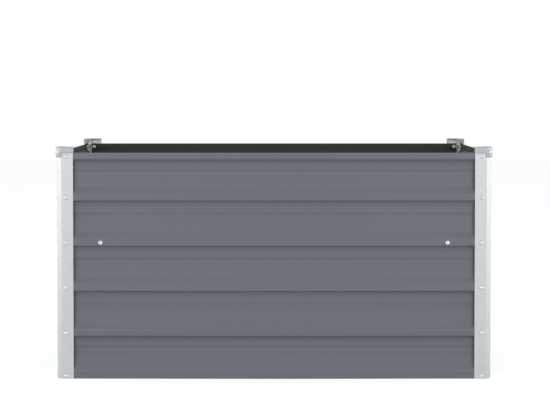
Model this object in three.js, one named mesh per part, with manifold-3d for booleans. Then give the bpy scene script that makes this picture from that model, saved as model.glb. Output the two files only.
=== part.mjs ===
// Raised garden bed: four ribbed steel panels, open at the top and the bottom, held by four
// chamfered corner posts with screwed-on caps and by two tie rods across the middle.
// Millimetres, +Z up. The origin is on the ground under the middle of the bed, +X runs along
// the long sides and -Y is the front.
import * as THREE from "three";
import { mergeVertices } from "three/addons/utils/BufferGeometryUtils.js";
import Module from "manifold-3d";

const wasm = await Module();
wasm.setup();

// Overall sizes, over the outer faces of the posts
const bedLength = 840;
const bedDepth = 500;
const postHeight = 447.5;

// Clearance between two pieces that seat on, or pass through, each other
const fitGap = 0.3;

// Corner post: one bent sheet, flat along each side, with a chamfer between the flats
const postSheet = 1;
const postLeg = 32.5; // from the sharp corner to the edge of the sheet, on each side
const chamferLeg = 10; // how far the chamfer cuts in along each side
const postHem = 6; // the edge is folded back inside over this width

// Ribbed panel, all heights from the ground
const panelSheet = 0.6;
const panelHeight = 438;
const panelEndInset = 13; // from the sharp corner of the post to the end of the panel
const panelHem = 11.5; // the top edge is folded back inside over this height
const middleCrests = 4; // between the bottom crest and the top crest
const firstCrestFoot = 83.5; // lower edge of the lowest middle crest
const topPitch = 79.5; // from the foot of the highest middle crest up to that of the top crest
const crestLand = 12.5; // flat front of a middle crest and of the top crest
const bottomLand = 17; // flat front of the bottom crest
const ribDepth = 8; // from the crests back to the pans
const flankHeight = 13; // slope from the top of a crest back to the pan above it
const coveHeight = 14; // the top of a pan curves forward over this height to the next crest's foot
const bandHeight = 22.5; // shallow band pressed into each pan
const bandDepth = 1.2;
const bandBend = 2.4; // height of each of the two small steps of a band
const bandDrop = 6.5; // the band's middle lies this far below the middle of its pan

// Domed screws with hexagon nuts
const shankDiameter = 4;
const headDiameter = 8.8;
const headHeight = 2.5;
const headRim = 0.6; // straight edge below the dome
const nutAcrossFlats = 7;
const nutThickness = 3.2;
const threadPastNut = 0.8;
const screwInset = 18; // from the sharp corner of the post to the screw line
const screwRise = 5.5; // screw line above the foot of its crest

// Corner cap: top plate, a lip down each flat of the post and a tab down the chamfer
const capSheet = 1.5;
const capLip = 12;
const capOverhang = 1; // past the edge of the post's sheet
const capCover = 14; // width of the top plate, inwards from the sharp corner
const tabWidth = 17;
const tabHeight = 20.5;
const tabCorner = 4; // radius of the tab's lower corners
const capScrewDrop = 10.5; // below the top of the cap

// Tie rods from the front panel to the back panel
const tieCrest = 3; // which crest the rods end on, counted up from the bottom one, which is 0
const tieFromEnd = 84.5; // from the outer face of the posts at that end of the bed
const rodDiameter = 8;
const rodBore = 16; // depth of the tapped hole in each end
const tieScrewLength = 12;

// How finely round shapes are faceted
const rodSides = 16;
const screwSides = 10;
const holeSides = 8;
const coveSteps = 4;
const domeSteps = 2;
const cutMargin = 5; // how far a cutter runs past what it cuts

// Values that follow from the sizes above
const capTop = postHeight + fitGap + capSheet;
const panelSetback = 2 * postSheet + fitGap; // from the post's face to the crests
const holeRadius = shankDiameter / 2 + fitGap;
const postGrip = panelSetback + panelSheet;
const topGrip = postGrip + panelSheet; // the top screws also clamp the folded edge
const capGrip = fitGap + capSheet + postSheet;
const topCrestFoot = panelHeight - crestLand;
const ribPitch = (topCrestFoot - topPitch - firstCrestFoot) / (middleCrests - 1);
const crestFeet = [0];
for (let i = 0; i < middleCrests; i++) {
  crestFeet.push(firstCrestFoot + i * ribPitch);
}
crestFeet.push(topCrestFoot);
const screwHeights = crestFeet.map((foot) => foot + screwRise);
const tieOffset = bedLength / 2 - tieFromEnd; // from the middle of the bed

const panelPaint = new THREE.MeshStandardMaterial({ color: 0x6c747b, roughness: 0.42, metalness: 0.2 });
const galvanised = new THREE.MeshStandardMaterial({ color: 0xd2d8da, roughness: 0.38, metalness: 0.75 });
const capMetal = new THREE.MeshStandardMaterial({ color: 0xbfc2c4, roughness: 0.45, metalness: 0.7 });
const screwZinc = new THREE.MeshStandardMaterial({ color: 0xdadde0, roughness: 0.28, metalness: 0.9 });
const rodZinc = new THREE.MeshStandardMaterial({ color: 0xb9bdc0, roughness: 0.35, metalness: 0.85 });

// ---- solids ----

// A closed geometry as a solid that can be joined and cut.
function solidFrom(geometry) {
  const bare = new THREE.BufferGeometry();
  const flat = geometry.index ? geometry.toNonIndexed() : geometry;
  bare.setAttribute("position", flat.getAttribute("position"));
  const merged = mergeVertices(bare, 1e-4);
  const corners = merged.index.array;
  const triangles = [];
  for (let i = 0; i < corners.length; i += 3) {
    const [a, b, c] = [corners[i], corners[i + 1], corners[i + 2]];
    if (a !== b && b !== c && c !== a) triangles.push(a, b, c);
  }
  return new wasm.Manifold(
    new wasm.Mesh({
      numProp: 3,
      vertProperties: merged.attributes.position.array,
      triVerts: new Uint32Array(triangles),
    }),
  );
}

function geometryFrom(solid) {
  const cut = solid.getMesh();
  const geometry = new THREE.BufferGeometry();
  geometry.setAttribute("position", new THREE.BufferAttribute(cut.vertProperties, 3));
  geometry.setIndex(new THREE.BufferAttribute(cut.triVerts, 1));
  const faceted = geometry.toNonIndexed();
  faceted.computeVertexNormals();
  return faceted;
}

// A flat outline of [x, y] points, pulled up along Z from one height to another.
function prism(points, from, to) {
  const shape = new THREE.Shape(points.map(([x, y]) => new THREE.Vector2(x, y)));
  const geometry = new THREE.ExtrudeGeometry(shape, { depth: to - from, bevelEnabled: false });
  return geometry.translate(0, 0, from);
}

// A round cutter along Y through the point, long enough to pass reach on both sides of it.
function borer(x, y, z, reach, turn = 0) {
  const geometry = new THREE.CylinderGeometry(holeRadius, holeRadius, 2 * reach, holeSides);
  return solidFrom(geometry.rotateZ(turn).translate(x, y, z));
}

function cutAll(solid, cutters) {
  return cutters.reduce((left, cutter) => left.subtract(cutter), solid);
}

// ---- corner posts ----

// The run of the post's outer faces in plan, moved outwards by the offset. The sharp corner of
// the post is at 0, 0, one flat runs back along -X and the other along +Y.
function cornerPath(offset, leg) {
  const bend = chamferLeg - offset * Math.tan(Math.PI / 8);
  return [
    [-leg, -offset],
    [-bend, -offset],
    [offset, bend],
    [offset, leg],
  ];
}

function postGeometry() {
  const [edgeA, bendA, bendB, edgeB] = cornerPath(-postSheet, postLeg - postHem);
  const outline = [
    ...cornerPath(0, postLeg),
    [-2 * postSheet, postLeg],
    [-2 * postSheet, postLeg - postHem],
    edgeB,
    bendB,
    bendA,
    edgeA,
    [postHem - postLeg, 2 * postSheet],
    [-postLeg, 2 * postSheet],
  ];
  const cutters = [];
  for (const height of screwHeights) {
    cutters.push(borer(-screwInset, 0, height, cutMargin));
    cutters.push(borer(0, screwInset, height, cutMargin, Math.PI / 2));
  }
  cutters.push(borer(-chamferLeg / 2, chamferLeg / 2, capTop - capScrewDrop, cutMargin, Math.PI / 4));
  return geometryFrom(cutAll(solidFrom(prism(outline, 0, postHeight)), cutters));
}

// ---- corner caps ----

// The tab in its own plane, x across and y up, with round lower corners.
function tabOutline() {
  const half = tabWidth / 2;
  const low = capTop - tabHeight;
  const shape = new THREE.Shape();
  shape.moveTo(-half, capTop);
  shape.lineTo(-half, low + tabCorner);
  shape.absarc(tabCorner - half, low + tabCorner, tabCorner, Math.PI, 1.5 * Math.PI);
  shape.absarc(half - tabCorner, low + tabCorner, tabCorner, 1.5 * Math.PI, 2 * Math.PI);
  shape.lineTo(half, capTop);
  return shape;
}

function capGeometry() {
  const inner = fitGap;
  const outer = fitGap + capSheet;
  const reach = postLeg + capOverhang;
  const skirt = [...cornerPath(outer, reach), ...cornerPath(inner, reach).reverse()];
  const plate = [
    ...cornerPath(outer, reach),
    [-capCover, reach],
    [-capCover, capCover],
    [-reach, capCover],
  ];
  const tab = new THREE.ExtrudeGeometry(tabOutline(), {
    depth: capSheet,
    bevelEnabled: false,
    curveSegments: 4,
  });
  // Stand the tab up with its back at y = -inner, then turn it onto the chamfer.
  tab.rotateX(Math.PI / 2).translate(0, -inner, 0);
  tab.rotateZ(Math.PI / 4).translate(-chamferLeg / 2, chamferLeg / 2, 0);
  const solid = solidFrom(prism(skirt, capTop - capLip, capTop))
    .add(solidFrom(prism(plate, capTop - capSheet, capTop)))
    .add(solidFrom(tab));
  const bore = borer(-chamferLeg / 2, chamferLeg / 2, capTop - capScrewDrop, cutMargin, Math.PI / 4);
  return geometryFrom(solid.subtract(bore));
}

// ---- panels ----

// The front of the sheet from the ground up, as [depth behind the crests, height] points.
function ribbedFace() {
  const points = [];
  crestFeet.forEach((foot, i) => {
    points.push([0, foot]);
    if (i === crestFeet.length - 1) return;
    const landTop = foot + (i === 0 ? bottomLand : crestLand);
    const panFoot = landTop + flankHeight;
    const nextFoot = crestFeet[i + 1];
    const bandMiddle = (panFoot + nextFoot) / 2 - bandDrop;
    const bandFoot = bandMiddle - bandHeight / 2;
    const bandTop = bandMiddle + bandHeight / 2;
    points.push([0, landTop], [ribDepth, panFoot]);
    points.push([ribDepth, bandFoot - bandBend / 2], [ribDepth + bandDepth, bandFoot + bandBend / 2]);
    points.push([ribDepth + bandDepth, bandTop - bandBend / 2], [ribDepth, bandTop + bandBend / 2]);
    // The cove is part of a parabola: vertical where it leaves the pan, steepest at the foot.
    for (let k = 0; k < coveSteps; k++) {
      const up = k / coveSteps;
      points.push([ribDepth * (1 - up * up), nextFoot - coveHeight * (1 - up)]);
    }
  });
  points.push([0, panelHeight]);
  return points;
}

// The same run of points moved to its right by the distance, with mitred corners.
function offsetPath(points, distance) {
  const sides = [];
  for (let i = 0; i + 1 < points.length; i++) {
    const along = new THREE.Vector2(...points[i + 1]).sub(new THREE.Vector2(...points[i])).normalize();
    sides.push(new THREE.Vector2(along.y, -along.x));
  }
  return points.map((point, i) => {
    const before = sides[Math.max(i - 1, 0)];
    const after = sides[Math.min(i, sides.length - 1)];
    const mitre = before.clone().add(after);
    mitre.multiplyScalar(distance / (1 + before.dot(after)));
    return [point[0] + mitre.x, point[1] + mitre.y];
  });
}

// A panel of the given length along X, with its crests at y = 0 and its inside towards +Y.
function panelGeometry(panelLength, holes) {
  const face = ribbedFace();
  const back = offsetPath(face, panelSheet).slice(0, -1);
  const outline = [
    ...face,
    [2 * panelSheet, panelHeight],
    [2 * panelSheet, panelHeight - panelHem],
    [panelSheet, panelHeight - panelHem],
    ...back.reverse(),
  ];
  const sheet = prism(outline, -panelLength / 2, panelLength / 2);
  // The outline's x becomes the depth along Y, its y the height, and its run the length along X.
  const turned = new THREE.Matrix4().makeBasis(
    new THREE.Vector3(0, 1, 0),
    new THREE.Vector3(0, 0, 1),
    new THREE.Vector3(1, 0, 0),
  );
  const cutters = holes.map(([x, z]) => borer(x, 0, z, cutMargin));
  return geometryFrom(cutAll(solidFrom(sheet.applyMatrix4(turned)), cutters));
}

// The places of the corner screws on a side of the given length, as [x, z].
function cornerHoles(sideLength) {
  const line = sideLength / 2 - screwInset;
  return screwHeights.flatMap((height) => [
    [-line, height],
    [line, height],
  ]);
}

// ---- screws and rods, with their axis along Y and their head towards -Y ----

function screwProfile(shankLength) {
  const points = [];
  for (let i = 0; i <= domeSteps; i++) {
    const angle = (i / domeSteps) * (Math.PI / 2);
    const radius = (headDiameter / 2) * Math.sin(angle);
    points.push(new THREE.Vector2(radius, -headRim - (headHeight - headRim) * Math.cos(angle)));
  }
  points.push(new THREE.Vector2(headDiameter / 2, 0));
  points.push(new THREE.Vector2(shankDiameter / 2, 0));
  points.push(new THREE.Vector2(shankDiameter / 2, shankLength));
  points.push(new THREE.Vector2(0, shankLength));
  return points;
}

// A screw whose nut closes on a stack of sheets as thick as the grip.
function boltGeometry(grip) {
  const nutFace = grip + 2 * fitGap;
  const nutRadius = nutAcrossFlats / 2 / Math.cos(Math.PI / 6);
  const shankLength = nutFace + nutThickness + threadPastNut;
  const screw = new THREE.LatheGeometry(screwProfile(shankLength), screwSides);
  const nut = new THREE.CylinderGeometry(nutRadius, nutRadius, nutThickness, 6);
  nut.translate(0, nutFace + nutThickness / 2, 0);
  return geometryFrom(solidFrom(screw).add(solidFrom(nut)));
}

function tieScrewGeometry() {
  return geometryFrom(solidFrom(new THREE.LatheGeometry(screwProfile(tieScrewLength), screwSides)));
}

function tieRodGeometry() {
  const end = bedDepth / 2 - postGrip - fitGap;
  const radius = rodDiameter / 2;
  const points = [
    [0, rodBore - end],
    [holeRadius, rodBore - end],
    [holeRadius, -end],
    [radius, -end],
    [radius, end],
    [holeRadius, end],
    [holeRadius, end - rodBore],
    [0, end - rodBore],
  ];
  const profile = points.map(([r, y]) => new THREE.Vector2(r, y));
  return geometryFrom(solidFrom(new THREE.LatheGeometry(profile, rodSides)));
}

// ---- the bed ----

const bed = new THREE.Group();

function place(parent, name, geometry, material, x, y, z, turn = 0) {
  const mesh = new THREE.Mesh(geometry, material);
  mesh.name = name;
  mesh.position.set(x, y, z);
  mesh.rotation.z = turn;
  parent.add(mesh);
}

// Corners in turn, each a quarter turn on from the one before.
const corners = [
  { name: "front_right", x: bedLength / 2, y: -bedDepth / 2 },
  { name: "back_right", x: bedLength / 2, y: bedDepth / 2 },
  { name: "back_left", x: -bedLength / 2, y: bedDepth / 2 },
  { name: "front_left", x: -bedLength / 2, y: -bedDepth / 2 },
];
const post = postGeometry();
const cap = capGeometry();
const capBolt = boltGeometry(capGrip);
const capScrewOut = (fitGap + capSheet + fitGap) / Math.SQRT2;
corners.forEach((corner, i) => {
  const group = new THREE.Group();
  group.position.set(corner.x, corner.y, 0);
  group.rotation.z = (i * Math.PI) / 2;
  place(group, "post_" + corner.name, post, galvanised, 0, 0, 0);
  place(group, "cap_" + corner.name, cap, capMetal, 0, 0, 0);
  place(
    group,
    "cap_screw_" + corner.name,
    capBolt,
    screwZinc,
    capScrewOut - chamferLeg / 2,
    chamferLeg / 2 - capScrewOut,
    capTop - capScrewDrop,
    Math.PI / 4,
  );
  bed.add(group);
});

const tieHeight = screwHeights[tieCrest];
const tieHoles = [
  [-tieOffset, tieHeight],
  [tieOffset, tieHeight],
];
const longPanel = panelGeometry(bedLength - 2 * panelEndInset, [...cornerHoles(bedLength), ...tieHoles]);
const shortPanel = panelGeometry(bedDepth - 2 * panelEndInset, cornerHoles(bedDepth));
const crestX = bedLength / 2 - panelSetback;
const crestY = bedDepth / 2 - panelSetback;
place(bed, "panel_front", longPanel, panelPaint, 0, -crestY, 0);
place(bed, "panel_right", shortPanel, panelPaint, crestX, 0, 0, Math.PI / 2);
place(bed, "panel_back", longPanel, panelPaint, 0, crestY, 0, Math.PI);
place(bed, "panel_left", shortPanel, panelPaint, -crestX, 0, 0, -Math.PI / 2);

const cornerBolt = boltGeometry(postGrip);
const topBolt = boltGeometry(topGrip);
const tieScrew = tieScrewGeometry();
const tieRod = tieRodGeometry();
const headOnPost = bedDepth / 2 + fitGap;
const headOnPanel = crestY + fitGap;
const ends = [
  { name: "left", way: -1 },
  { name: "right", way: 1 },
];
for (const end of ends) {
  place(bed, "tie_rod_" + end.name, tieRod, rodZinc, end.way * tieOffset, 0, tieHeight);
  const line = end.way * (bedLength / 2 - screwInset);
  const tieLine = end.way * tieOffset;
  place(bed, "tie_screw_front_" + end.name, tieScrew, screwZinc, tieLine, -headOnPanel, tieHeight);
  place(bed, "tie_screw_back_" + end.name, tieScrew, screwZinc, tieLine, headOnPanel, tieHeight, Math.PI);
  screwHeights.forEach((height, i) => {
    const label = end.name + "_" + (i + 1);
    const bolt = i === screwHeights.length - 1 ? topBolt : cornerBolt;
    place(bed, "screw_front_" + label, bolt, screwZinc, line, -headOnPost, height);
    place(bed, "screw_back_" + label, bolt, screwZinc, line, headOnPost, height, Math.PI);
  });
}

export default bed;
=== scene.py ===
# %% [markdown]
# # A ribbed steel garden bed
#
# The bed is four ribbed sheets of painted steel, held at the corners by bent galvanised posts.
# Each post wears a cap, rows of domed screws join everything, and two rods tie the long sides
# together a little above half way up. It has no floor: it stands on the ground, open at the top
# and the bottom.
#
# The imported model gives every size and place. It is loaded first.

# %% The imported model
import math

import bmesh
import bpy
import numpy as np
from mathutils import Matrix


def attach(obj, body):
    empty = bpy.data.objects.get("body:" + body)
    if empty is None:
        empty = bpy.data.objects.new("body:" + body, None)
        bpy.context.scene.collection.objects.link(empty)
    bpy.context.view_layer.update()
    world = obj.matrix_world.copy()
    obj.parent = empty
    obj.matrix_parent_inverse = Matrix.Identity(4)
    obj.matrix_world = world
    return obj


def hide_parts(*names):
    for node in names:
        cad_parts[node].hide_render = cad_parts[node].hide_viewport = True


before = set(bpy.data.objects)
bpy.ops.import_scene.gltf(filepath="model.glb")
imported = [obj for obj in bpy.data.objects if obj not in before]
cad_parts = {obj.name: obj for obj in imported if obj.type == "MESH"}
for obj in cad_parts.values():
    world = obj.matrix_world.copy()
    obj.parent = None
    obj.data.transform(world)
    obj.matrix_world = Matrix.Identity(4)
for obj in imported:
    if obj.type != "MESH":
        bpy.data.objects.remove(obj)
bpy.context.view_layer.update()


# %% [markdown]
# ## Helpers for a mesh from arrays
#
# A swept sheet, a turned screw and a bent post are all the same kind of surface: a grid of
# points, where the rows follow one parameter and the columns another. Blender could make them
# with curves or the screw modifier, but a grid worked out with numpy keeps each point where a
# drawing would put it, in millimetres. One helper joins the grid into faces, one gives the closed
# shape of a loop that is carried along a path, and another turns the arrays into an object. Rows
# that shrink to a point, at the tip of a screw for instance, leave doubled points, so they are
# merged before the normals are turned outwards.

# %% From arrays to an object
MM = 0.001  # the arrays are in millimetres, Blender's units are metres


def grid_faces(rows, columns, close_rows=False, close_columns=False):
    """Four corners of each face of a rows by columns grid of points, stored row after row."""
    i = np.arange(rows if close_rows else rows - 1)[:, None]
    j = np.arange(columns if close_columns else columns - 1)[None, :]
    below, right = (i + 1) % rows, (j + 1) % columns
    corners = [i * columns + j, i * columns + right, below * columns + right, below * columns + j]
    return np.stack(np.broadcast_arrays(*corners), axis=-1).reshape(-1, 4)


def carried_loop(rows):
    """A shell from a loop at each step of a path, (steps, points, 3), with both ends shut."""
    n, m = rows.shape[:2]
    return {
        "points": rows.reshape(-1, 3),
        "faces": grid_faces(n, m, close_columns=True),
        "ends": [range(m), range((n - 1) * m, n * m)],
    }


def make_piece(name, shells, materials, smooth_angle=35.0):
    """One object from closed shells, each a dict of points (n, 3) in millimetres, faces (m, 4)
    and, where it has them, ends (lists of corners), finish (m) and uv (n, 2)."""
    mesh = bpy.data.meshes.new(name)
    points, faces, finish, uv, start = [], [], [], [], 0
    for shell in shells:
        ends = [list(np.asarray(end) + start) for end in shell.get("ends", [])]
        quads = (shell["faces"] + start).tolist()
        points.append(shell["points"])
        faces += quads + ends
        finish += list(shell.get("finish", np.zeros(len(quads), int))) + [0] * len(ends)
        uv.append(shell.get("uv", np.zeros((len(shell["points"]), 2))))
        start += len(shell["points"])
    mesh.from_pydata(np.concatenate(points) * MM, [], faces)
    uv = np.concatenate(uv) * MM
    corner_points = np.zeros(len(mesh.loops), int)
    mesh.loops.foreach_get("vertex_index", corner_points)
    mesh.uv_layers.new(name="run").data.foreach_set("uv", uv[corner_points].ravel())
    mesh.polygons.foreach_set("material_index", np.array(finish, int))
    work = bmesh.new()
    work.from_mesh(mesh)
    bmesh.ops.remove_doubles(work, verts=work.verts, dist=1e-7)
    bmesh.ops.recalc_face_normals(work, faces=work.faces)
    work.to_mesh(mesh)
    work.free()
    for material in materials:
        mesh.materials.append(material)
    mesh.shade_smooth()
    mesh.set_sharp_from_angle(angle=math.radians(smooth_angle))
    piece = bpy.data.objects.new(name, mesh)
    bpy.context.scene.collection.objects.link(piece)
    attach(piece, "root")
    return piece


def turned(points, degrees, x=0.0, y=0.0, z=0.0):
    """The points turned about the Z axis by so many degrees, then moved to x, y, z."""
    c, s = math.cos(math.radians(degrees)), math.sin(math.radians(degrees))
    turn = np.array([[c, s, 0.0], [-s, c, 0.0], [0.0, 0.0, 1.0]])
    return points @ turn + np.array([x, y, z])


# %% [markdown]
# ## Rounded bends
#
# Sheet steel never has a knife edge where it is folded. Each corner of a section is swapped for a
# short parabola that leaves one side and lands on the other without a kink. The Bevel modifier
# could round the edges afterwards, but here each bend needs its own radius, because the width of
# the highlight on a bend depends on it.

# %% Bends along a section


def round_bends(corners, radii, steps=6):
    """The run of corners with each inner one rounded. A parabola goes from a point before the
    corner to a point after it, both radius x tan(half the turn) away, with the corner as its
    control point: (1-u)^2 start + 2u(1-u) corner + u^2 end."""
    sides = np.diff(corners, axis=0)
    way = sides / np.linalg.norm(sides, axis=1, keepdims=True)
    before, after, corner = way[:-1], way[1:], corners[1:-1]
    cosine = np.clip((before * after).sum(axis=1), -1, 1)
    reach = (np.asarray(radii) * np.tan(np.arccos(cosine) / 2))[:, None]
    u = np.linspace(0, 1, steps)[None, :, None]
    start, end = (corner - before * reach)[:, None], (corner + after * reach)[:, None]
    bends = (1 - u) ** 2 * start + 2 * u * (1 - u) * corner[:, None] + u**2 * end
    run = np.concatenate([corners[:1], bends.reshape(-1, 2), corners[-1:]])
    return run[np.append(True, np.linalg.norm(np.diff(run, axis=0), axis=1) > 1e-6)]


def beside(path, distance):
    """The path moved sideways: each point goes the distance along its own normal, which is its
    direction of travel turned a quarter turn clockwise."""
    way = np.gradient(path, axis=0)
    way /= np.linalg.norm(way, axis=1, keepdims=True)
    return path + distance * np.stack([way[:, 1], -way[:, 0]], axis=1)


# %% [markdown]
# ## Finishes
#
# Four finishes cover the bed. The outside of the sheets has a grey coil coating, a semi-gloss
# paint with the faint orange peel and the long roller streaks of a coating line. The inside has
# its backing coat, made near black as painted shade for the deep shade inside the bed. The posts
# are hot-dip galvanised, so they carry a soft spangle of zinc crystals, and the caps, screws and
# rods are plated.
#
# Each material is a small tree of nodes. One helper makes a node, sets what is named, and links
# what is given as a socket. The others are shared by all the finishes: `vary` lets the mean of two
# patterns move the colour and the gloss a little, and `roughen` turns a fine noise into bumps.

# %% Helpers for nodes


def linear(red, green, blue):
    """A colour given as 0 to 255 screen values, as the linear light that Blender works with:
    c / 12.92 where c is small, and ((c + 0.055) / 1.055)^2.4 elsewhere."""
    c = np.array([red, green, blue]) / 255
    return (*np.where(c <= 0.04045, c / 12.92, ((c + 0.055) / 1.055) ** 2.4), 1.0)


def add_node(tree, kind, inputs=None, **settings):
    """A new node of that kind. Each input is given as a value, or as a socket to link it to."""
    made = tree.nodes.new(kind)
    for key, value in settings.items():
        setattr(made, key, value)
    for key, value in (inputs or {}).items():
        if isinstance(value, bpy.types.NodeSocket):
            tree.links.new(value, made.inputs[key])
        else:
            made.inputs[key].default_value = value
    return made


def new_material(name, **surface):
    """A material whose Principled shader has these plain values set on its own sockets."""
    material = bpy.data.materials.new(name)
    material.use_nodes = True
    shader = material.node_tree.nodes["Principled BSDF"]
    for key, value in surface.items():
        shader.inputs[key.replace("_", " ").title().replace("Ior", "IOR")].default_value = value
    return material, material.node_tree, shader


def spread_round(tree, value, low, high):
    """A 0 to 1 value mapped onto low to high."""
    limits = {"Value": value, "To Min": low, "To Max": high}
    return add_node(tree, "ShaderNodeMapRange", limits).outputs["Result"]


def tinted(tree, colour, value):
    """The colour made lighter or darker by a value round 1."""
    multiply = {"data_type": "RGBA", "blend_type": "MULTIPLY"}
    shade = add_node(tree, "ShaderNodeMix", {"Factor": 1.0}, **multiply)
    shade.inputs[6].default_value = colour
    tree.links.new(value, shade.inputs[7])
    return shade.outputs[2]


def noise(tree, place, per_metre, detail, output="Fac"):
    """Soft noise round a half, with about so many blotches to a metre."""
    inputs = {"Vector": place, "Scale": per_metre, "Detail": detail}
    return add_node(tree, "ShaderNodeTexNoise", inputs).outputs[output]


def vary(tree, shader, patterns, colour, shade_by, roughness, roughness_by):
    """The mean of two patterns moves the colour and the roughness to both sides of their values."""
    both = add_node(tree, "ShaderNodeMath", dict(enumerate(patterns)), operation="ADD")
    half = {0: both.outputs["Value"], 1: 0.5}
    pattern = add_node(tree, "ShaderNodeMath", half, operation="MULTIPLY").outputs["Value"]
    shade = spread_round(tree, pattern, 1 - shade_by, 1 + shade_by)
    gloss = spread_round(tree, pattern, roughness - roughness_by, roughness + roughness_by)
    tree.links.new(tinted(tree, colour, shade), shader.inputs["Base Color"])
    tree.links.new(gloss, shader.inputs["Roughness"])


def roughen(tree, shader, place, per_metre, strength, height):
    """Fine bumps, so many to a metre: the strength is the share of the height that shows."""
    grain = noise(tree, place, per_metre, 2.0)
    bumps = {"Height": grain, "Strength": strength, "Distance": height}
    bump = add_node(tree, "ShaderNodeBump", bumps)
    tree.links.new(bump.outputs["Normal"], shader.inputs["Normal"])


# %% [markdown]
# ### Coil coating
#
# The paint's colour hardly changes, so its noise only moves it by a few percent: broad clouds,
# and streaks that run along the sheet. The streaks read the sheet's own UV map, in metres along
# its length and up its section, so that they follow each side of the bed. Orange peel is a bump
# of a few thousandths of a millimetre. A thin clear coat gives the sharper glints on the bends.
# The backing coat is matt, uneven and rougher, as a coat that nobody sees is. Its near-black
# colour is painted shade, standing in for the shade inside the bed.

# %% Grey outside, inside near black as painted shade
STREAKS = (3.0, 180.0, 1.0)  # streaks to a metre, along the sheet and across it


def coating(name, colour, roughness, coat, variation, peel):
    surface = {"roughness": roughness, "coat_weight": coat, "coat_roughness": 0.20}
    material, tree, shader = new_material(name, **surface)
    run = add_node(tree, "ShaderNodeUVMap", uv_map="run").outputs["UV"]
    along = add_node(tree, "ShaderNodeMapping", {"Vector": run, "Scale": STREAKS}).outputs["Vector"]
    place = add_node(tree, "ShaderNodeTexCoord").outputs["Object"]
    patterns = (noise(tree, along, 1.0, 3.0), noise(tree, place, 14.0, 4.0))
    vary(tree, shader, patterns, colour, variation, roughness, 0.04)
    roughen(tree, shader, place, 700.0, peel, 0.4 * MM)
    return material


grey_coating = coating(
    "grey_coating", linear(106, 114, 121), roughness=0.30, coat=0.30, variation=0.03, peel=0.015
)
# The inside's near-black colour is painted shade: it stands in for the deep shade inside the bed.
backing_painted_shade = coating(
    "backing_painted_shade", linear(33, 34, 36), roughness=0.70, coat=0.0, variation=0.12, peel=0.16
)
print("coatings:", grey_coating.name, backing_painted_shade.name)

# %% [markdown]
# ### Zinc
#
# Hot-dip zinc freezes into crystals a few millimetres wide. A Voronoi pattern gives each cell its
# own shade and gloss, softened so far that it only shows close by. The plated parts have a finer
# grain instead.

# %% Spangled posts, plated caps, screws and rods


def zinc(name, colour, roughness, metallic, cell, variation, grain):
    """Zinc whose crystals are about one cell, in millimetres, wide."""
    material, tree, shader = new_material(name, roughness=roughness, metallic=metallic)
    per_metre = 1 / (cell * MM)
    place = add_node(tree, "ShaderNodeTexCoord").outputs["Object"]
    warp = noise(tree, place, 0.6 * per_metre, 2.0, output="Color")
    mixed = {"Factor": 0.004, 4: place, 5: warp}
    bent = add_node(tree, "ShaderNodeMix", mixed, data_type="VECTOR").outputs[1]
    soft_cells = {"Vector": bent, "Scale": per_metre, "Smoothness": 0.6}
    cells = add_node(tree, "ShaderNodeTexVoronoi", soft_cells, feature="SMOOTH_F1").outputs["Color"]
    crystal = add_node(tree, "ShaderNodeSeparateColor", {"Color": cells}).outputs["Red"]
    film = noise(tree, place, 22.0, 5.0)
    vary(tree, shader, (crystal, film), colour, variation, roughness, 0.08)
    roughen(tree, shader, place, 1500.0, grain, 0.2 * MM)
    return material


galvanised = zinc(
    "galvanised", linear(193, 197, 198),
    roughness=0.42, metallic=0.55, cell=6.0, variation=0.035, grain=0.10,
)
cap_plating = zinc(
    "cap_plating", linear(170, 172, 175),
    roughness=0.45, metallic=0.50, cell=3.0, variation=0.02, grain=0.10,
)
screw_plating = zinc(
    "screw_plating", linear(208, 212, 214),
    roughness=0.36, metallic=0.75, cell=1.5, variation=0.03, grain=0.08,
)
rod_plating = zinc(
    "rod_plating", linear(186, 190, 193),
    roughness=0.36, metallic=0.85, cell=3.0, variation=0.04, grain=0.12,
)
print("zinc:", galvanised.name, cap_plating.name, screw_plating.name, rod_plating.name)

# %% [markdown]
# ## Ribbed sheets
#
# Each side of the bed is one sheet, pressed into ribs. From the ground up, a section goes up the
# flat front of a crest, slopes back to a pan 8 mm deeper, and curves forward again to the foot of
# the next crest, so the crests look like lapped boards. That curve, the cove, is part of a
# parabola. A plain step would be simpler, but the cove turns its face down bit by bit, and that
# gives the soft shade over the top centimetre of each pan. A shallow band is pressed into each
# pan. The top edge is folded back inside, which makes it safe to touch.
#
# The section is worked out once, thickened, closed into a loop, and carried along the length of
# each side. A real sheet isn't quite flat, so slow waves of a tenth of a millimetre make its
# highlights wander, and its foot bows out a little between the corners, on the long sides most.

# %% Section of a sheet
SHEET = 0.6
SHEET_TOP = 438.0
TOP_FOLD = 11.5  # height of the folded edge
RIB_DEPTH = 8.0
FIRST_FOOT, RIB_PITCH = 83.5, 87.5  # the foot of the second crest, and from one crest to the next
TOP_FOOT = 425.5  # the foot of the top crest
BOTTOM_LAND, LAND = 17.0, 12.5  # flat front of the bottom crest and of the others
FLANK = 13.0  # height of the slope from a crest back to the pan above it
BAND_DEPTH = 1.2
BAND_HALF = 22.5 / 2
BAND_SLOPE = 2.4 / 2  # half the height of the step into a band
BAND_DROP = 6.5  # the middle of a band lies this far below the middle of its pan
COVE_HEIGHT = 14.0
crest_foot = np.append(0.0, FIRST_FOOT + RIB_PITCH * np.arange(4))
next_foot = np.append(crest_foot[1:], TOP_FOOT)
crest_top = crest_foot + np.where(crest_foot > 0, LAND, BOTTOM_LAND)
pan_foot = crest_top + FLANK
band = (pan_foot + next_foot) / 2 - BAND_DROP
corner_heights = [
    crest_foot, crest_top, pan_foot,
    band - BAND_HALF - BAND_SLOPE, band - BAND_HALF + BAND_SLOPE,
    band + BAND_HALF - BAND_SLOPE, band + BAND_HALF + BAND_SLOPE,
]
band_floor = RIB_DEPTH + BAND_DEPTH
corner_depths = [0.0, 0.0, RIB_DEPTH, RIB_DEPTH, band_floor, band_floor, RIB_DEPTH]
bend_radii = [1.5, 8.0, 6.0, 4.0, 4.0, 4.0, 4.0]  # at the corners of a rib, from its foot up
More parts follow.
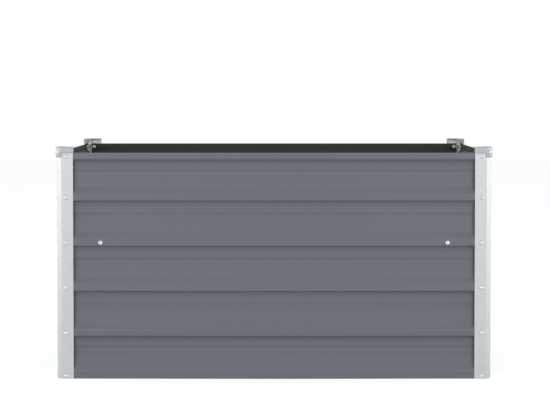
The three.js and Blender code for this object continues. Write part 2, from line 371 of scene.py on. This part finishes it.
# The cove: at a share u of its height, the depth is that of the rib x (1 - u^2).
u = np.linspace(0, 1, 9)[:-1]
cove_heights = next_foot[None, :] - COVE_HEIGHT * (1 - u[:, None])
heights = np.concatenate([corner_heights, cove_heights])
depths = np.append(corner_depths, RIB_DEPTH * (1 - u**2))
rib_corners = np.stack(np.broadcast_arrays(depths[:, None], heights), axis=-1)
rib_corners = rib_corners.transpose(1, 0, 2).reshape(-1, 2)  # rib after rib from the ground up
rib_corners = np.concatenate([rib_corners, [[0.0, TOP_FOOT], [0.0, SHEET_TOP - SHEET]]])
rib_radii = np.append(np.tile(np.append(bend_radii, 0 * u), len(crest_foot)), bend_radii[0])[1:]
face_path = round_bends(rib_corners, rib_radii)
back_path = beside(face_path, SHEET)
back_path = back_path[back_path[:, 1] < SHEET_TOP - TOP_FOLD]
# The folded edge: half a circle over the top edge, and a small soft tip where it ends inside.
fold_angle = np.linspace(np.pi, 0, 9)
fold = SHEET * np.stack([1 + np.cos(fold_angle), np.sin(fold_angle)], axis=1)
fold += [0.0, SHEET_TOP - SHEET]
fold_tip = np.array([[2 * SHEET, 0.25], [1.75 * SHEET, 0.05], [SHEET, 0.0]])
fold_tip += [0.0, SHEET_TOP - TOP_FOLD]
section = np.concatenate([face_path, fold[1:], fold_tip, back_path[::-1]])
outside = len(face_path) + len(fold) // 2  # this many of the section's sides are painted grey
print("section:", len(section), "points,", outside, "of them outside")


# %% Sheets along the four sides
LONG_SHEET, SHORT_SHEET = 814.0, 474.0
CREST_Y, CREST_X = 247.7, 417.7  # from the middle of the bed out to the crests
ALONG_STEP = 9.0
BOW = 3.0
BOW_ENDS, BOW_FADE = 235.0, 150.0  # the bow dies out below this height, over this much height
RIB_WAVER = 0.35  # the ribs waver up and down by this share of the waves
STREAKS_APART = 1000.0  # so that each side shows another stretch of the streaks


def waves(along, height, seed):
    """How far the sheet stands out of true, in millimetres: a sum of slow sine waves along the
    length, whose phases drift with the height, so that no two ribs match."""
    turns = np.random.default_rng(seed).uniform(0, 2 * np.pi, (4, 1, 1))
    lengths = np.array([420.0, 233.0, 131.0, 77.0])[:, None, None]
    sizes = np.array([0.10, 0.07, 0.05, 0.025])[:, None, None]
    phase = 2 * np.pi * along / lengths + turns + height / 60.0 * (1 + turns / 5)
    return (sizes * np.sin(phase)).sum(axis=0)


def make_sheet(name, side, length, distance, bow, seed):
    """A sheet whose section runs along one side of the bed. The waves and the bow die out at the
    ends, where the posts hold it: bow x cos^2 of a quarter turn along, fading out up the sheet."""
    along = np.linspace(-length / 2, length / 2, int(length / ALONG_STEP) + 1)[:, None]
    depth, height = section[:, 0][None, :], section[:, 1][None, :]
    hold = np.cos(np.pi * along / length) ** 2
    loose = np.clip((BOW_ENDS - height) / BOW_FADE, 0, 1)
    out = bow * hold * loose**2 * (3 - 2 * loose) + waves(along, height, seed) * np.sqrt(hold)
    between = (height > 5) * (height < SHEET_TOP - 20)  # the foot and the rim stay straight
    rise = RIB_WAVER * waves(along, 0 * height + 7.0, seed + 1) * np.sqrt(hold) * between
    rows = np.stack(np.broadcast_arrays(along, depth - out, height + rise), axis=-1)
    travelled = np.insert(np.cumsum(np.linalg.norm(np.diff(section, axis=0), axis=1)), 0, 0.0)
    run = np.stack(np.broadcast_arrays(along, travelled[None, :]), axis=-1)
    shell = carried_loop(rows)
    shell["points"] = turned(shell["points"] + np.array([0.0, -distance, 0.0]), 90 * side)
    # The sides past the outside take the backing coat, whose near-black colour is painted shade.
    shell["finish"] = np.tile(np.arange(len(section)) >= outside, len(along) - 1).astype(int)
    shell["uv"] = run.reshape(-1, 2) + np.array([seed * STREAKS_APART, 0.0])
    sheet = make_piece(name, [shell], [grey_coating, backing_painted_shade])
    print(name, len(sheet.data.polygons), "faces")
    return sheet


sheet_front = make_sheet("sheet_front", 0, LONG_SHEET, CREST_Y, BOW, 3)
sheet_right = make_sheet("sheet_right", 1, SHORT_SHEET, CREST_X, BOW / 3, 5)
sheet_back = make_sheet("sheet_back", 2, LONG_SHEET, CREST_Y, BOW, 7)
sheet_left = make_sheet("sheet_left", 3, SHORT_SHEET, CREST_X, BOW / 3, 11)
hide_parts("panel_front")
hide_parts("panel_right")
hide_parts("panel_back")
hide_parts("panel_left")

# %% [markdown]
# ## Corner posts
#
# A post is a strip of galvanised steel bent twice, so that a flat lies along each side of the bed
# with a chamfer between them. Both edges are folded back inside, which gives them the round,
# bright rim that catches the light next to the sheets.
#
# In plan a corner is always the same run: flat, bend, chamfer, bend, flat. The cap follows it
# too, a little further out, so one function gives that run at any offset. Where the offset goes
# further in than the bend's radius, the bend shrinks to a mitre point. Smooth shading would spread
# the turn of a bend over the whole flat beside it, so each flat has two more points near its ends.

# %% Plan of a corner
POST_LEG = 32.5
CHAMFER_LEG = 10.0
BEND_RADIUS = 1.2
HOLD = 0.3  # points this far from the ends of a flat keep the soft shading at its edges
HALF_LENGTH, HALF_DEPTH = 420.0, 250.0  # from the middle of the bed out to the posts' flats
corner_places = {
    "front_right": (HALF_LENGTH, -HALF_DEPTH, 0),
    "back_right": (HALF_LENGTH, HALF_DEPTH, 90),
    "back_left": (-HALF_LENGTH, HALF_DEPTH, 180),
    "front_left": (-HALF_LENGTH, -HALF_DEPTH, 270),
}


def corner_run(offset, leg, steps=6):
    """The corner's outer face in plan, moved outwards by the offset. A bend is an arc of radius
    R + offset about a fixed centre, and a point on the mitre line once that radius is used up."""
    half = math.radians(22.5)  # each bend turns by 45 degrees
    mitre = np.array([half - np.pi / 2, -half])[:, None, None]
    corner = np.array([[-CHAMFER_LEG, 0.0], [0.0, CHAMFER_LEG]])[:, None, :]
    towards = np.concatenate([np.cos(mitre), np.sin(mitre)], axis=-1)
    centre = corner - towards * BEND_RADIUS / math.cos(half)
    radius = BEND_RADIUS + offset
    if radius > 0:
        angle = mitre + np.linspace(-half, half, steps)[None, :, None]
        bends = centre + radius * np.concatenate([np.cos(angle), np.sin(angle)], axis=-1)
    else:
        bends = centre + towards * radius / math.cos(half) + np.zeros((1, steps, 1))
    run = np.concatenate([[[-leg, -offset]], bends.reshape(-1, 2), [[offset, leg]]])
    starts, ends = run[[0, steps, -2]], run[[1, steps + 1, -1]]
    near = HOLD * (ends - starts) / np.linalg.norm(ends - starts, axis=1, keepdims=True)
    held = np.stack([starts + near, ends - near], axis=1)
    first, second = run[1 : steps + 1], run[steps + 1 : -1]
    return np.concatenate([run[:1], held[0], first, held[1], second, held[2], run[-1:]])


# %% Posts
POST_SHEET = 1.0
POST_FOLD = 6.0
POST_HEIGHT = 447.5


def post_outline():
    """The post's section in plan as one loop: the outer run, a half circle round each folded
    edge, and back along the inside."""
    turn = np.linspace(-np.pi / 2, np.pi / 2, 9)[:, None]
    edge = POST_SHEET * np.concatenate([np.cos(turn), np.sin(turn)], axis=1)
    rim = np.array([-POST_LEG + POST_SHEET, POST_SHEET])
    left_rim = rim + edge[::-1] * [-1, 1]
    right_rim = np.array([-rim[1], -rim[0]]) + np.stack([-edge[:, 1], edge[:, 0]], axis=1)
    outer = corner_run(0.0, POST_LEG - POST_SHEET)
    inner = corner_run(-POST_SHEET, POST_LEG - POST_FOLD)[::-1]
    step_x, step_y = -POST_LEG + POST_FOLD, 2 * POST_SHEET
    left_step = np.array([[step_x, step_y - 0.3], [step_x - 0.3, step_y]])
    right_step = left_step[::-1, ::-1] * [-1, -1]
    return np.concatenate([outer, right_rim[1:], right_step, inner, left_step, left_rim[:-1]])


def make_post(corner):
    x, y, degrees = corner_places[corner]
    outline = post_outline()
    levels = np.linspace(0, POST_HEIGHT, 12)[:, None]
    rows = np.stack(np.broadcast_arrays(outline[:, 0][None], outline[:, 1][None], levels), axis=-1)
    shell = carried_loop(rows)
    shell["points"] = turned(shell["points"], degrees, x, y)
    post = make_piece("corner_post_" + corner, [shell], [galvanised])
    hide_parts("post_" + corner)
    return post


posts = [make_post(corner) for corner in corner_places]
print(len(posts), "posts of", len(posts[0].data.polygons), "faces")

# %% [markdown]
# ## Caps
#
# A cap is pressed from thin plate. Its section is an upside-down L with a soft outer edge, a
# plate that reaches in over the post and a lip that hangs down outside it, and that section
# follows the corner's run. A tab with round lower corners hangs further down over the chamfer
# and takes a screw.

# %% Caps and their tabs
CAP_TOP = 449.3
CAP_SHEET = 1.5
CAP_GAP = 0.3  # between the post and the cap
CAP_LIP = 12.0  # height of the lip
CAP_COVER = 14.0  # how far the plate reaches in over the post
CAP_REACH = POST_LEG + 1.0
TAB_HALF = 8.5
TAB_HEIGHT = 20.5
TAB_CORNER = 2.5
TAB_PROUD = 0.15  # the tab's front stands this far out from the lip's


def cap_shell():
    """The L section, as offsets from the post's face and heights, carried along the corner run:
    each of its points becomes the run at that offset and height."""
    outer, inner = CAP_GAP + CAP_SHEET, CAP_GAP
    lip_foot, underside = CAP_TOP - CAP_LIP, CAP_TOP - CAP_SHEET
    corners = np.array([
        [inner, lip_foot + 0.6], [inner + 0.2, lip_foot], [outer - 0.3, lip_foot],
        [outer, lip_foot + 1.0], [outer, CAP_TOP], [-CAP_COVER, CAP_TOP],
        [-CAP_COVER, underside], [inner, underside], [inner, underside - 1.0],
    ])
    loop = round_bends(corners, [0.05, 0.3, 0.3, 1.7, 0.4, 0.4, 0.1], steps=5)
    runs = np.stack([corner_run(offset, CAP_REACH) for offset in loop[:, 0]])
    heights = np.broadcast_to(loop[:, 1][:, None, None], (*runs.shape[:2], 1))
    rows = np.concatenate([runs, heights], axis=-1)
    return carried_loop(rows.transpose(1, 0, 2))


def tab_shell():
    """The tab as rings of its outline, from the middle of its front, round the edge, to the middle
    of its back. On a ring with an inset, each point stands that much nearer to the middle."""
    turn = np.linspace(np.pi, 1.5 * np.pi, 7)
    low = CAP_TOP - TAB_HEIGHT
    x = np.concatenate([[-TAB_HALF], TAB_CORNER - TAB_HALF + TAB_CORNER * np.cos(turn)])
    z = np.concatenate([[CAP_TOP - 1.2], low + TAB_CORNER + TAB_CORNER * np.sin(turn)])
    outline = np.stack([np.append(x, -x[::-1]), np.append(z, z[::-1])], axis=1)[:, None]
    middle = np.array([0.0, CAP_TOP - TAB_HEIGHT / 2])
    inwards = (middle - outline) / np.linalg.norm(middle - outline, axis=2, keepdims=True)
    inset = np.array([0.45, 0.12, 0.0, 0.0, 0.12, 0.45])[None, :, None]
    centre = np.broadcast_to(middle, outline.shape)
    flat = np.concatenate([centre, outline + inwards * inset, centre], axis=1)
    front, back = -(CAP_GAP + CAP_SHEET + TAB_PROUD), -CAP_GAP
    depth = np.array([front, front, front + 0.12, front + 0.5, back - 0.3, back, back, back])
    rows = np.stack([flat[..., 0], np.broadcast_to(depth, flat.shape[:2]), flat[..., 1]], axis=-1)
    n, m = rows.shape[:2]
    points = turned(rows.reshape(-1, 3), 45, -CHAMFER_LEG / 2, CHAMFER_LEG / 2)
    return {"points": points, "faces": grid_faces(n, m, close_rows=True)}


def make_cap(corner):
    x, y, degrees = corner_places[corner]
    shells = [cap_shell(), tab_shell()]
    for shell in shells:
        shell["points"] = turned(shell["points"], degrees, x, y)
    cap = make_piece("corner_cap_" + corner, shells, [cap_plating])
    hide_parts("cap_" + corner)
    return cap


caps = [make_cap(corner) for corner in corner_places]
print(len(caps), "caps of", len(caps[0].data.polygons), "faces")

# %% [markdown]
# ## Screws and nuts
#
# A domed screw is a turned shape: a profile of radius and distance along the axis, carried once
# round it. The cross recess is cut by pushing the points near the two slots down. The nut is
# turned too, but its outer radius follows a hexagon, cut off by a cone at both ends.

# %% Profiles of the fasteners
SIDES = 36
HEAD_RADIUS = 4.4
SHANK_RADIUS = 2.0
RECESS_DEPTH = 1.0
NUT_HEIGHT = 3.2
around = np.linspace(0, 2 * np.pi, SIDES, endpoint=False)


def turned_grid(profile):
    """Points of a profile of (radius, y) rows turned about the Y axis. The head looks along -Y."""
    radius = profile[:, 0][:, None]
    x, z = radius * np.cos(around), radius * np.sin(around)
    return np.stack([x, np.broadcast_to(profile[:, 1][:, None], x.shape), z], axis=-1)


def turned_shell(grid, ring=False):
    """A shell from a turned grid, which is a closed ring where the profile meets its own start."""
    faces = grid_faces(len(grid), SIDES, close_rows=ring, close_columns=True)
    return {"points": grid.reshape(-1, 3), "faces": faces}


def smooth_step(value, low, high):
    """0 up to the low value, 1 from the high one, and an S curve between them: 3t^2 - 2t^3."""
    t = np.clip((value - low) / (high - low), 0, 1)
    return t * t * (3 - 2 * t)


def threaded(y_from, y_to, radius, depth=0.28, pitch=0.8):
    """Rings of a thread: the radius swings between the crest and the root once per pitch."""
    y = np.arange(y_from, y_to, pitch / 3)
    return np.stack([radius - depth * np.abs(np.sin(np.pi * (y - y_from) / pitch)), y], axis=1)


def screw_shell(length, head_turn):
    """A domed head with a cross recess, and a threaded shank with a small point."""
    ring = np.array([0.0, 0.35, 0.7, 1.0, 1.3, 1.6, 1.85, 2.05, 2.25, 2.7, 3.2, 3.7, 4.05, 4.28])
    dome = -0.55 - 1.95 * np.sqrt(1 - (ring / HEAD_RADIUS) ** 2)
    head = np.stack([ring, dome], axis=1)
    rim = np.array([
        [HEAD_RADIUS, -0.5], [HEAD_RADIUS, -0.12], [HEAD_RADIUS - 0.1, 0.0], [2.15, 0.0],
    ])
    tip = np.array([[1.55, length - 0.25], [1.3, length], [0.0, length]])
    shank = threaded(0.05, length - 0.5, SHANK_RADIUS)
    profile = np.concatenate([head, rim, shank, tip])
    grid = turned_grid(profile)
    angle = around + head_turn
    a, b = ring[:, None] * np.cos(angle), ring[:, None] * np.sin(angle)
    slot = 1 - smooth_step(np.minimum(np.abs(a), np.abs(b)), 0.30, 0.62)
    within = 1 - smooth_step(ring, 1.75, 2.2)[:, None]
    grid[: len(ring), :, 1] += RECESS_DEPTH * slot * within
    return turned_shell(grid)


def nut_shell(face):
    """A hexagon nut as a closed ring. Across the flats it is 7 mm, and a cone takes its corners
    off at both ends: the radius is the smaller of the hexagon's and the cone's."""
    flat = 3.5 / np.cos((around + np.pi / 6) % (np.pi / 3) - np.pi / 6)
    y = np.array([0.0, 0.0, 0.45, NUT_HEIGHT - 0.45, NUT_HEIGHT, NUT_HEIGHT])
    cone = np.array([3.45, 3.55, 9.0, 9.0, 3.55, 2.5])
    radius = np.minimum(flat[None, :], cone[:, None])
    radius[0], radius[-1] = 2.12, 2.12
    level = np.broadcast_to(face + y[:, None], radius.shape)
    grid = np.stack([radius * np.cos(around), level, radius * np.sin(around)], axis=-1)
    return turned_shell(grid, ring=True)


def make_fastener(name, shells, degrees, x, y, z, finish=screw_plating, slot="screw_zinc"):
    """Shells made along the Y axis, turned about Z and moved to their place, as one object."""
    placed = [dict(shell, points=turned(shell["points"], degrees, x, y, z)) for shell in shells]
    piece = make_piece(name, placed, [finish])
    return piece


# %% Screws along the posts
SCREW_RISE = 5.5  # above the foot of each crest
SCREW_HEIGHTS = np.append(crest_foot, TOP_FOOT) + SCREW_RISE
NUT_GAP = 0.6
GRIP, TOP_GRIP, CAP_GRIP = 2.9, 3.5, 2.8  # thickness of the sheets that a screw clamps
PAST_GRIP = NUT_GAP + NUT_HEIGHT + 0.8  # how far a shank goes on past what it clamps
# From the middle of a side out to its lines of screws. The short sides' lines are 6.5 mm nearer
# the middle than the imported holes, so that the heads hardly break the posts' edges from in front.
LONG_LINE, SHORT_LINE = 402.0, 225.5
HEAD_GAP = 0.3  # between a head and the face that it clamps
long_side = (LONG_LINE, HALF_DEPTH + HEAD_GAP)
short_side = (SHORT_LINE, HALF_LENGTH + HEAD_GAP)
sides = {
    "front": (0, *long_side),
    "right": (1, *short_side),
    "back": (2, *long_side),
    "left": (3, *short_side),
}
turn_of_heads = np.random.default_rng(17).uniform(0, np.pi / 2, 60)
bolts = []
for side, (quarter, line, distance) in sides.items():
    for end, way in (("left", -1), ("right", 1)):
        for level, height in enumerate(SCREW_HEIGHTS, start=1):
            grip = TOP_GRIP if level == len(SCREW_HEIGHTS) else GRIP
            screw = screw_shell(grip + PAST_GRIP, turn_of_heads[len(bolts)])
            shells = [screw, nut_shell(grip + NUT_GAP)]
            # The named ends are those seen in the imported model, and the back is turned round.
            local = way if quarter < 2 else -way
            spot = turned(np.array([[local * line, -distance, height]]), 90 * quarter)[0]
            bolt = make_fastener(f"bolt_{side}_{end}_{level}", shells, 90 * quarter, *spot)
            if side in ("front", "back"):
                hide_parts(f"screw_{side}_{end}_{level}")
            bolts.append(bolt)
print(len(bolts), "bolts of", len(bolts[0].data.polygons), "faces")

# %% Screws of the caps
CAP_SCREW_Z = CAP_TOP - 10.5
head_out = (CAP_GAP + CAP_SHEET + HEAD_GAP) / math.sqrt(2)  # from the chamfer, along X and Y
across = CHAMFER_LEG / 2 - head_out
for number, (corner, (x, y, degrees)) in enumerate(corner_places.items()):
    screw = screw_shell(CAP_GRIP + PAST_GRIP, turn_of_heads[50 + number])
    shells = [screw, nut_shell(CAP_GRIP + NUT_GAP)]
    spot = turned(np.array([[-across, across, CAP_SCREW_Z]]), degrees, x, y)[0]
    bolt = make_fastener("cap_bolt_" + corner, shells, degrees + 45, *spot)
    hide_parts("cap_screw_" + corner)

# %% [markdown]
# ## Tie rods
#
# Two round bars run from the front sheet to the back one at the height of the fourth crest, and
# keep the long sides from bulging when the bed is full. Each end is tapped and takes a screw
# through the sheet. The bar is a turned shape as well, with a hole and a small chamfer at each
# end, so its profile starts inside one hole, goes over the outside, and ends inside the other.

# %% Rods and their screws
TIE_X = 335.5
TIE_Z = SCREW_HEIGHTS[3]
TIE_SCREW = 12.0  # length of the shank
ROD_END = HALF_DEPTH - GRIP - 0.3
ROD_RADIUS = 4.0
BORE_RADIUS, BORE_DEPTH = 2.3, 16.0
PLAIN_HALF = 120.0  # half the length of the plain stretch between the ends
half_profile = np.array([
    [0.0, BORE_DEPTH], [BORE_RADIUS, BORE_DEPTH], [BORE_RADIUS, 0.5], [2.7, 0.0],
    [ROD_RADIUS - 0.5, 0.0], [ROD_RADIUS, 0.6], [ROD_RADIUS, ROD_END - PLAIN_HALF],
]) - [0.0, ROD_END]
rod_profile = np.concatenate([half_profile, half_profile[::-1] * [1, -1]])
rod_shell = turned_shell(turned_grid(rod_profile))
for end, way in (("left", -1), ("right", 1)):
    spot = (way * TIE_X, 0, TIE_Z)
    rod = make_fastener("rod_" + end, [rod_shell], 0, *spot, rod_plating, "rod_zinc")
    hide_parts("tie_rod_" + end)
    for side, quarter, local in (("front", 0, 1), ("back", 2, -1)):
        in_front = np.array([[local * way * TIE_X, -CREST_Y - HEAD_GAP, TIE_Z]])
        spot = turned(in_front, 90 * quarter)[0]
        shells = [screw_shell(TIE_SCREW, 0.4 + way)]
        screw = make_fastener(f"tie_bolt_{side}_{end}", shells, 90 * quarter, *spot)
        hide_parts(f"tie_screw_{side}_{end}")

# %% [markdown]
# ## Floor, light and camera
#
# The bed stands on a plain floor that runs out into a white background. Both look white because
# of what a camera ray sees, not because of extra light on the bed. Under that glow the floor is
# mid grey, so it throws little light up under the crests, and it still shows the soft shadow
# round the foot.
#
# An even surround gives much of the light. The coves under the crests turn away from it, towards
# the darker floor, and that gives their shade. Two lamps stand four metres in front, half a metre
# higher than the bed and far out to the left and the right, so that the flats are evenly lit and
# no glare falls on the middle of a sheet. Two wide panels at the sides are what the chamfers of
# the posts reflect.

# %% Floor and surround


def seen_as_background(tree):
    """1 for the rays that show the background: those from the camera, and those that a glossy or
    a clear surface sends on."""
    ray = add_node(tree, "ShaderNodeLightPath").outputs
    two = {0: ray["Is Camera Ray"], 1: ray["Is Glossy Ray"]}
    both = add_node(tree, "ShaderNodeMath", two, operation="ADD").outputs["Value"]
    three = {0: both, 1: ray["Is Transmission Ray"]}
    return add_node(tree, "ShaderNodeMath", three, operation="ADD", use_clamp=True).outputs["Value"]


FLOOR_HALF = 9.0
FLOOR_COLOUR = 0.40
FLOOR_GLOW = 0.80  # what the camera sees on top of the floor's own light
SURROUND = 0.44
floor_mesh = bpy.data.meshes.new("floor")
edge = np.array([[-1, -1, 0], [1, -1, 0], [1, 1, 0], [-1, 1, 0]]) * FLOOR_HALF
floor_mesh.from_pydata(edge, [], [(0, 1, 2, 3)])
floor = bpy.data.objects.new("floor", floor_mesh)
bpy.context.scene.collection.objects.link(floor)
floor_white, tree, shader = new_material("floor_white", roughness=0.9, specular_ior_level=0.0)
shader.inputs["Base Color"].default_value = (FLOOR_COLOUR, FLOOR_COLOUR, FLOOR_COLOUR, 1)
seen = {0: seen_as_background(tree), 1: FLOOR_GLOW}
glow = add_node(tree, "ShaderNodeMath", seen, operation="MULTIPLY").outputs["Value"]
glowing = add_node(tree, "ShaderNodeEmission", {"Color": (1, 1, 1, 1), "Strength": glow})
both = add_node(tree, "ShaderNodeAddShader", {0: shader.outputs[0], 1: glowing.outputs[0]})
tree.links.new(both.outputs[0], tree.nodes["Material Output"].inputs["Surface"])
floor_mesh.materials.append(floor_white)

world = bpy.data.worlds.new("surround")
bpy.context.scene.world = world
world.use_nodes = True
tree = world.node_tree
lit = tree.nodes["Background"]
lit.inputs["Color"].default_value = (1, 1, 1, 1)
lit.inputs["Strength"].default_value = SURROUND
white = add_node(tree, "ShaderNodeBackground", {"Color": (1, 1, 1, 1), "Strength": 1.0})
either = {0: seen_as_background(tree), 1: lit.outputs[0], 2: white.outputs[0]}
shown = add_node(tree, "ShaderNodeMixShader", either)
tree.links.new(shown.outputs[0], tree.nodes["World Output"].inputs["Surface"])

# %% Lamps


def add_panel_light(name, place, aim, width, height, brightness):
    """A rectangular lamp at a place, facing the point that it is aimed at. Its brightness is how
    bright its face looks, where 1 is white, so its power is pi x area x brightness."""
    lamp = bpy.data.lights.new(name, "AREA")
    lamp.shape, lamp.size, lamp.size_y = "RECTANGLE", width, height
    lamp.energy = math.pi * width * height * brightness
    holder = bpy.data.objects.new(name, lamp)
    holder.location = place
    away = np.array(place) - np.array(aim)
    flat = math.hypot(away[0], away[1])
    heading = math.atan2(away[1], away[0]) + math.pi / 2
    holder.rotation_euler = (math.atan2(flat, away[2]), 0, heading)
    holder.visible_camera = False
    bpy.context.scene.collection.objects.link(holder)


for way, end in ((-1, "left"), (1, "right")):
    key_place, side_place = (way * 2.1, -4.2, 0.95), (way * 3.2, 0.3, 0.75)
    add_panel_light("key_" + end, key_place, (0, -0.25, 0.25), width=1.2, height=0.8, brightness=13)
    add_panel_light("side_" + end, side_place, (0, 0, 0.3), width=3.0, height=1.5, brightness=2.2)

# %% [markdown]
# The camera stands three metres in front of the bed, a little above its rim. It looks down by
# only two degrees, so that the upright edges stay upright, and the lens is shifted a little to
# bring the bed to its place in the frame.

# %% Camera
FRAME_WIDTH, FRAME_HEIGHT = 550, 412
FOCAL_PIXELS = 1602.7
AXIS_X, AXIS_Y = 274.03, 140.73  # where the lens axis meets the picture
LOOKING_DOWN = 2.0
camera_data = bpy.data.cameras.new("camera")
camera_data.sensor_width = 36.0
camera_data.lens = FOCAL_PIXELS / FRAME_WIDTH * camera_data.sensor_width
camera_data.shift_x = (FRAME_WIDTH / 2 - AXIS_X) / FRAME_WIDTH
camera_data.shift_y = (AXIS_Y - FRAME_HEIGHT / 2) / FRAME_WIDTH
camera = bpy.data.objects.new("camera", camera_data)
camera.location = (0.0, -3.335, 0.569)
camera.rotation_euler = (math.radians(90 - LOOKING_DOWN), 0, 0)
bpy.context.scene.collection.objects.link(camera)
bpy.context.scene.camera = camera
bpy.context.scene.view_settings.view_transform = "Standard"
shift = round(camera_data.shift_x, 4), round(camera_data.shift_y, 4)
print("lens", round(camera_data.lens, 1), "mm, shift", shift)
